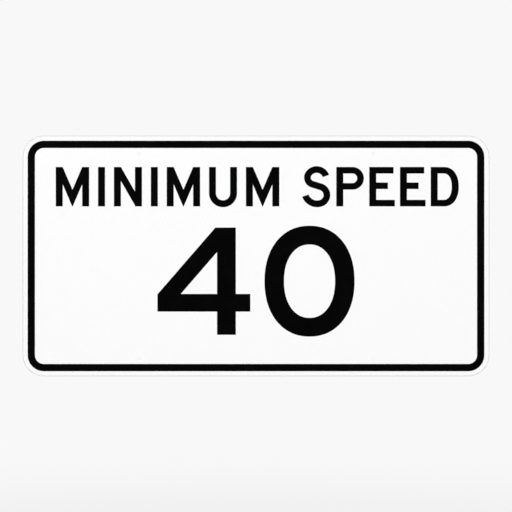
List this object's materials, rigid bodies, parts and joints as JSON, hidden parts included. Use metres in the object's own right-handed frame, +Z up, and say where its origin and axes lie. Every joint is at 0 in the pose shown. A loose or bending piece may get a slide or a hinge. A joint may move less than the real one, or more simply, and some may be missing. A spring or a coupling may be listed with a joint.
{
  "type": "minimum speed sign",
  "caption": "Flat aluminium road sign with rounded corners, a white reflective face, a black border and bolt holes for its posts; gives drivers a minimum speed.",
  "frame": {"origin": "middle of the flat back face, at the centre of the four bolt holes, in the plane that bears on the posts", "axes": "+X to the right of a reader who faces the sign, +Y out of the back towards the posts, +Z up"},
  "size_m": [1.2192, 0.003, 0.628],
  "materials": {
    "aluminium_sheet": "mill-finished rolled sheet with broken edges",
    "white_sheeting": "smooth prismatic retroreflective facing",
    "black_film": "smooth opaque overlay film, semi-gloss"
  },
  "bodies": {
    "root": {"sign_blank": "aluminium_sheet", "white_facing": "white_sheeting", "black_border": "black_film"}
  },
  "joints": []
}
